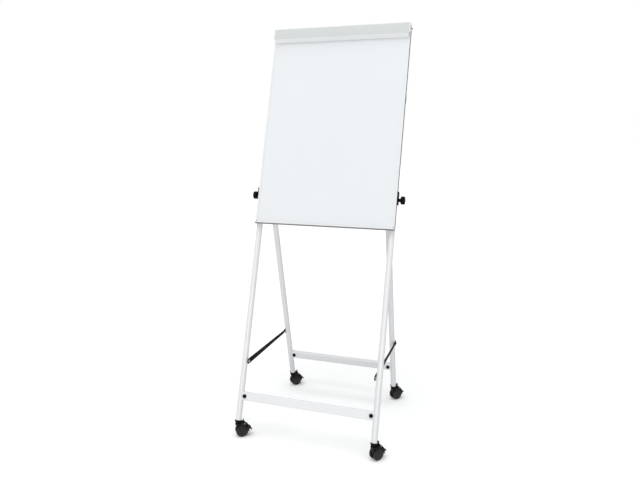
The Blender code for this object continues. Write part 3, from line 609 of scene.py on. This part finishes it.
# ---- Clamp bar ----------------------------------------------------------------------------
def clamp_bar():
    """Bent strip, its face below the crease painted paler as painted light, with its end caps and the
    heads of its pins.
    """
    path = [(-2 * MM, 2.0487), (-49 * MM, 2.0491), (-44.7 * MM, 1.9975), (-28.6 * MM, 1.9835)]
    smooth = fillet(path, [0, 2.6 * MM, 2 * MM, 0], closed=False, steps=6)
    upper, lower = [], []
    for i, point in enumerate(smooth):
        before = Vector(smooth[max(i - 1, 0)])
        after = Vector(smooth[min(i + 1, len(smooth) - 1)])
        along = (after - before).normalized()
        aside = Vector((-along.y, along.x)) * 1 * MM
        upper.append(tuple(Vector(point) + aside))
        lower.append(tuple(Vector(point) - aside))
    outline = upper + list(reversed(lower))
    piece = slab("clamp_bar_section", outline, -CLAMP_HALF, CLAMP_HALF, FRONT @ FLAT_IN_YZ,
                 "clamp_bar", "bar", ("clamp_bar",), sharp=50)
    crease = path[2][1]
    # Below the crease the bar is painted paler: painted light.
    paint_below(piece, "lip", crease)
    cap = [(6 * MM, 2.0500), (-50.5 * MM, 2.0500), (-46.4 * MM, 1.9975), (-40 * MM, 2.0010),
           (-26 * MM, 2.0185), (-3 * MM, 2.0345), (6 * MM, 2.0350), (9 * MM, 2.0380),
           (9 * MM, 2.0470)]
    shape = fillet(cap, [3 * MM, 3.5 * MM, 2 * MM, 1 * MM, 0, 2 * MM, 2 * MM, 2 * MM, 3 * MM])
    for word, side in SIDES:
        middle = side * (CLAMP_HALF + 2.8 * MM)
        slab("clamp_end_cap_" + word + "_shell", shape, -2.5 * MM, 2.5 * MM,
             FRONT @ at(middle) @ FLAT_IN_YZ, "clamp_bar", "white_plastic",
             ("clamp_end_cap_" + word,), bevel=0.9 * MM)
        ring = fillet([(0, 0), (5 * MM, 0), (5 * MM, 2.4 * MM), (0, 3.0 * MM)],
                      [0, 0, 0.5 * MM, 0], closed=False)
        turn("clamp_pin_" + word + "_head", ring,
             FRONT @ at(side * (CLAMP_HALF + 4.9 * MM), *PIVOT) @ outward(side), "clamp_bar",
             "black_plastic", sides=40)


def pad_hooks():
    """Clips over the top rail, each with a peg for a pad's hole."""
    front_face = -20.3 * MM
    outline = [(-26.4 * MM, 1.994), (-26.4 * MM, 2.0188), (front_face, 2.0200),
               (front_face, 2.0453), (8.3 * MM, 2.0453), (8.3 * MM, 2.038), (9.8 * MM, 2.038),
               (9.8 * MM, 2.0469), (-22.5 * MM, 2.0469), (-22.5 * MM, 2.0215),
               (-29 * MM, 2.0205), (-29 * MM, 1.994)]
    for word, side in SIDES:
        x = side * 140 * MM
        slab("pad_hook_" + word + "_clip", fillet(outline, 0.5 * MM), -12 * MM, 12 * MM,
             FRONT @ at(x) @ FLAT_IN_YZ, "pad_hook_" + word, "black_plastic",
             ("pad_hook_" + word,), bevel=0.5 * MM)
        peg = fillet([(0, 28 * MM), (4 * MM, 28 * MM), (4 * MM, 36.8 * MM), (0, 37 * MM)],
                     [0, 0, 2.4 * MM, 0], closed=False)
        turn("pad_hook_" + word + "_peg", peg, FRONT @ at(x, 0, 2.003) @ TO_FRONT,
             "pad_hook_" + word, "black_plastic", sides=40)


# ---- Knobs --------------------------------------------------------------------------------
def knobs():
    """Fluted grips on a neck, with the end of a screw."""
    seat = 354.6 * MM
    ring = [(0, 28.2 * MM), (9 * MM, 28.2 * MM), (10 * MM, 29 * MM), (15.4 * MM, 29 * MM),
            (19 * MM, 27.4 * MM), (19 * MM, 12 * MM), (17.6 * MM, 11 * MM), (11 * MM, 11 * MM),
            (7.4 * MM, 3 * MM), (7.4 * MM, 0.2 * MM), (0, 0.2 * MM)]
    radii = [0, 0.6 * MM, 0.6 * MM, 2 * MM, 2.4 * MM, 1.2 * MM, 0.8 * MM, 2.4 * MM, 3 * MM,
             0.4 * MM, 0]
    profile = fillet(ring, radii, closed=False, steps=5)
    dense = []
    for a, b in zip(profile, profile[1:]):
        parts = max(1, round((Vector(b) - Vector(a)).length / (2.2 * MM)))
        dense += [tuple(Vector(a).lerp(Vector(b), k / parts)) for k in range(parts)]
    profile = dense + [profile[-1]]

    def grip(r, z, t):
        if r < 17 * MM or not 12.4 * MM < z < 26.8 * MM:
            return 0.0
        ends = min(1.0, (z - 12.4 * MM) / (1.5 * MM), (26.8 * MM - z) / (1.5 * MM))
        return ends * 0.6 * MM * (0.5 + 0.5 * cos(24 * t)) ** 2
    for word, side in SIDES:
        local = FRONT @ at(side * seat, 0, KNOB_S) @ outward(side)
        turn("knob_" + word + "_grip", profile, local, "knob_" + word, "black_plastic",
             ("knob_" + word,), sides=192, sharp=60, ripple=grip)
        screw = [(0, -4.6 * MM), (2.6 * MM, -4.6 * MM), (3 * MM, -4.2 * MM), (3 * MM, 1 * MM),
                 (0, 1 * MM)]
        turn("knob_" + word + "_screw", screw, local, "knob_" + word, "zinc", sides=32)


# ---- Castors ------------------------------------------------------------------------------
def castor(corner):
    """Fender, the web between the wheels, the swivel housing and all that rides under it."""
    joint = JOINTS["castor_" + corner + "_swivel"]["pos_m"]
    axle = Vector(JOINTS["wheels_" + corner + "_roll"]["pos_m"])
    heading = atan2(axle.y - joint[1], axle.x - joint[0])
    trail = sqrt((axle.x - joint[0]) ** 2 + (axle.y - joint[1]) ** 2)
    base = at(joint[0], joint[1]) @ Matrix.Rotation(heading, 4, "Z")
    upright = base @ Matrix.Rotation(pi / 2, 4, "X")
    body = "castor_" + corner
    cx, cz = trail, axle.z
    fender = arc(cx, cz, 33.6 * MM, -10, 130, 41) + arc(cx, cz, 31.2 * MM, 130, -10, 41)
    slab("castor_" + corner + "_fender", fender, -20.2 * MM, 20.2 * MM, upright, body, "castor",
         ("castor_hood_" + corner,), bevel=0.9 * MM)
    web = arc(cx, cz, 18 * MM, -160, 30, 20)
    web += [(39 * MM, 53.5 * MM), (28 * MM, 61.5 * MM), (24 * MM, 63.5 * MM),
            (-11 * MM, 63.5 * MM), (-10 * MM, 44 * MM)]
    slab("castor_" + corner + "_web", fillet(web, [0] * 21 + [3 * MM, 2 * MM, 2 * MM, 4 * MM]),
         -6.5 * MM, 6.5 * MM, upright, body, "castor", bevel=0.8 * MM)
    ring = [(0, 56 * MM), (9 * MM, 57 * MM), (14 * MM, 60.9 * MM), (15.5 * MM, 62 * MM),
            (15.5 * MM, 65.2 * MM), (14.6 * MM, 65.8 * MM), (4 * MM, 65.8 * MM), (4 * MM, 90 * MM),
            (0, 90 * MM)]
    turn("castor_" + corner + "_housing", fillet(ring, 0.8 * MM, closed=False), base, body,
         "castor")
    wheels(corner, base, cx, cz)
    lever(corner, base, upright)


def wheels(corner, base, cx, cz):
    """Two tyred discs with dished faces and hub caps, on one axle."""
    half = [(0, 21.4), (5.6, 21.1), (7.4, 20.2), (8.2, 18.8), (10.2, 18.6), (11.4, 19.2),
            (20.6, 19.6), (22.4, 19.2), (23.4, 17.9), (24.6, 17.9), (25.6, 18.8), (27.4, 18.5),
            (29.2, 17.0), (30.0, 14.6), (30.0, 10.6), (29.3, 9.0), (27.6, 8.2), (4.0, 8.2)]
    soft = fillet([(r * MM, z * MM) for r, z in half], 0.7 * MM, closed=False, steps=3)
    profile = soft + [(r, -z) for r, z in reversed(soft)]
    bands = [1 if min(a[0], b[0]) > 24.3 * MM else 0 for a, b in zip(profile, profile[1:])]
    turn("wheels_" + corner + "_pair", profile, base @ at(cx, 0, cz) @ TO_FRONT,
         "wheels_" + corner, "castor", ("castor_wheels_" + corner,), 96, bands=bands,
         extra=("tread",), sharp=50)


def lever(corner, base, upright):
    """Brake pedal with grip ribs, its release horn and the pin through the hood's ears."""
    px, pz = 27 * MM, 66 * MM
    cx, cz = TRAIL, WHEEL_R
    body = "brake_" + corner
    inner = arc(cx, cz, 34.5 * MM, 8, 60, 15)
    outer = arc(cx, cz, 37.9 * MM, 58, 22, 13)
    heel = [(29.5, 63.6), (24.2, 63.9), (23.4, 68.5), (26, 71.6), (31.4, 69.8)]
    toe = [(58, 42.2), (63, 36.8), (65.9, 29.8), (63.0, 28.4), (57.4, 34.0)]
    heel, toe = ([(x * MM, z * MM) for x, z in part] for part in (heel, toe))
    radii = [0] * len(inner) + [1.4 * MM] * 5 + [0] * len(outer) + [3 * MM, 3 * MM, 0.9 * MM,
                                                                      0.9 * MM, 3 * MM]
    outline = fillet(inner + heel + outer + toe, radii, steps=5)
    slab("brake_" + corner + "_pedal", outline, -14 * MM, 14 * MM, upright, body, "black_plastic",
         ("castor_brake_" + corner,), bevel=1.1 * MM)
    horn = [(23.6 * MM, 66 * MM), (28 * MM, 66 * MM), (27.2 * MM, 76 * MM), (26.4 * MM, 85.5 * MM),
            (24.4 * MM, 85.5 * MM), (24.2 * MM, 76 * MM)]
    slab("brake_" + corner + "_horn", fillet(horn, [0, 0, 3 * MM, 0.9 * MM, 0.9 * MM, 3 * MM]),
         -6 * MM, 6 * MM, upright, body, "black_plastic", bevel=0.7 * MM)
    for k in range(4):
        angle = radians(48 - 7 * k)
        spots = [(37.2, -0.8), (38.7, -0.5), (38.7, 0.5), (37.2, 0.8)]
        rib = [(cx + r * MM * cos(angle) - w * MM * sin(angle),
                cz + r * MM * sin(angle) + w * MM * cos(angle)) for r, w in spots]
        slab("brake_" + corner + "_rib_" + str(k), fillet(rib, 0.3 * MM), -11.5 * MM, 11.5 * MM,
             upright, body, "black_plastic", bevel=0.25 * MM)
    pin = fillet([(0, -18.4 * MM), (2.6 * MM, -18.2 * MM), (2.6 * MM, 18.2 * MM), (0, 18.4 * MM)],
                 0.5 * MM, closed=False)
    turn("brake_" + corner + "_pin", pin, base @ at(px, 0, pz) @ TO_FRONT, body, "zinc", sides=32)
    for side in (-1, 1):
        y = side * 16.3 * MM
        ear = arc(px, pz, 4.6 * MM, 0, 180, 11) + [(px - 5.4 * MM, 61 * MM), (px + 5.4 * MM, 60 * MM)]
        slab("castor_" + corner + "_ear_" + ("a" if side > 0 else "b"), ear, y - 1.7 * MM,
             y + 1.7 * MM, upright, "castor_" + corner, "castor", bevel=0.5 * MM)


# ---- Floor, light and camera --------------------------------------------------------------
def paper_floor():
    """White paper that shows bright, and throws back a little less light than it shows."""
    bpy.ops.mesh.primitive_plane_add(size=60)
    floor = bpy.context.object
    floor.name = "floor"
    ground = bpy.data.materials.new("floor_paper")
    ground.use_nodes = True
    nodes, links = ground.node_tree.nodes, ground.node_tree.links
    nodes.clear()
    out = nodes.new("ShaderNodeOutputMaterial")
    mix = nodes.new("ShaderNodeMixShader")
    path = nodes.new("ShaderNodeLightPath")
    seen = nodes.new("ShaderNodeAddShader")
    paper = nodes.new("ShaderNodeBsdfDiffuse")
    glow = nodes.new("ShaderNodeEmission")
    bounced = nodes.new("ShaderNodeBsdfDiffuse")
    paper.inputs["Color"].default_value = (0.96, 0.96, 0.96, 1)
    glow.inputs["Strength"].default_value = 0.07
    bounced.inputs["Color"].default_value = (0.70, 0.70, 0.705, 1)
    links.new(paper.outputs["BSDF"], seen.inputs[0])
    links.new(glow.outputs["Emission"], seen.inputs[1])
    links.new(path.outputs["Is Camera Ray"], mix.inputs["Fac"])
    links.new(bounced.outputs["BSDF"], mix.inputs[1])
    links.new(seen.outputs["Shader"], mix.inputs[2])
    links.new(mix.outputs["Shader"], out.inputs["Surface"])
    floor.data.materials.append(ground)


def white_room():
    """Soft light from all around, in front of a plain white backdrop."""
    world = bpy.data.worlds.new("studio")
    bpy.context.scene.world = world
    world.use_nodes = True
    nodes, links = world.node_tree.nodes, world.node_tree.links
    nodes.clear()
    out = nodes.new("ShaderNodeOutputWorld")
    mix = nodes.new("ShaderNodeMixShader")
    path = nodes.new("ShaderNodeLightPath")
    soft = nodes.new("ShaderNodeBackground")
    white = nodes.new("ShaderNodeBackground")
    soft.inputs["Color"].default_value = (0.97, 0.985, 1.0, 1)
    soft.inputs["Strength"].default_value = 0.44
    white.inputs["Color"].default_value = (1, 1, 1, 1)
    white.inputs["Strength"].default_value = 1.0
    links.new(path.outputs["Is Camera Ray"], mix.inputs["Fac"])
    links.new(soft.outputs["Background"], mix.inputs[1])
    links.new(white.outputs["Background"], mix.inputs[2])
    links.new(mix.outputs["Shader"], out.inputs["Surface"])


def far_light(name, energy, spread, toward):
    """A broad, even light from far away, coming from the direction toward."""
    light = bpy.data.lights.new(name, "SUN")
    light.energy = energy
    light.angle = radians(spread)
    lamp = bpy.data.objects.new(name, light)
    lamp.rotation_euler = Vector(toward).to_track_quat("Z", "Y").to_euler()
    bpy.context.scene.collection.objects.link(lamp)


def camera():
    data = bpy.data.cameras.new("camera")
    data.lens = 32.69
    data.sensor_width = 36.0
    data.shift_x = 0.0052
    data.shift_y = -0.0010
    view = bpy.data.objects.new("camera", data)
    bpy.context.scene.collection.objects.link(view)
    view.matrix_world = (at(0.8451, FOOT_Y - 2.3436, 1.4192)
                         @ Matrix.Rotation(radians(18.363), 4, "Z")
                         @ Matrix.Rotation(radians(90 - 9.768), 4, "X")
                         @ Matrix.Rotation(radians(0.277), 4, "Z"))
    bpy.context.scene.camera = view


legs_and_bars()
fold_hardware()
braces()
board()
clamp_bar()
pad_hooks()
knobs()
for corner in ("front_left", "front_right", "rear_left", "rear_right"):
    castor(corner)
paper_floor()
white_room()
far_light("overhead", 2.0, 62, (-0.06, -0.18, 1.0))
far_light("front_light", 1.30, 26, (0.26, -1.0, 0.06))
camera()
bpy.context.scene.view_settings.view_transform = "Standard"

bpy.context.view_layer.update()
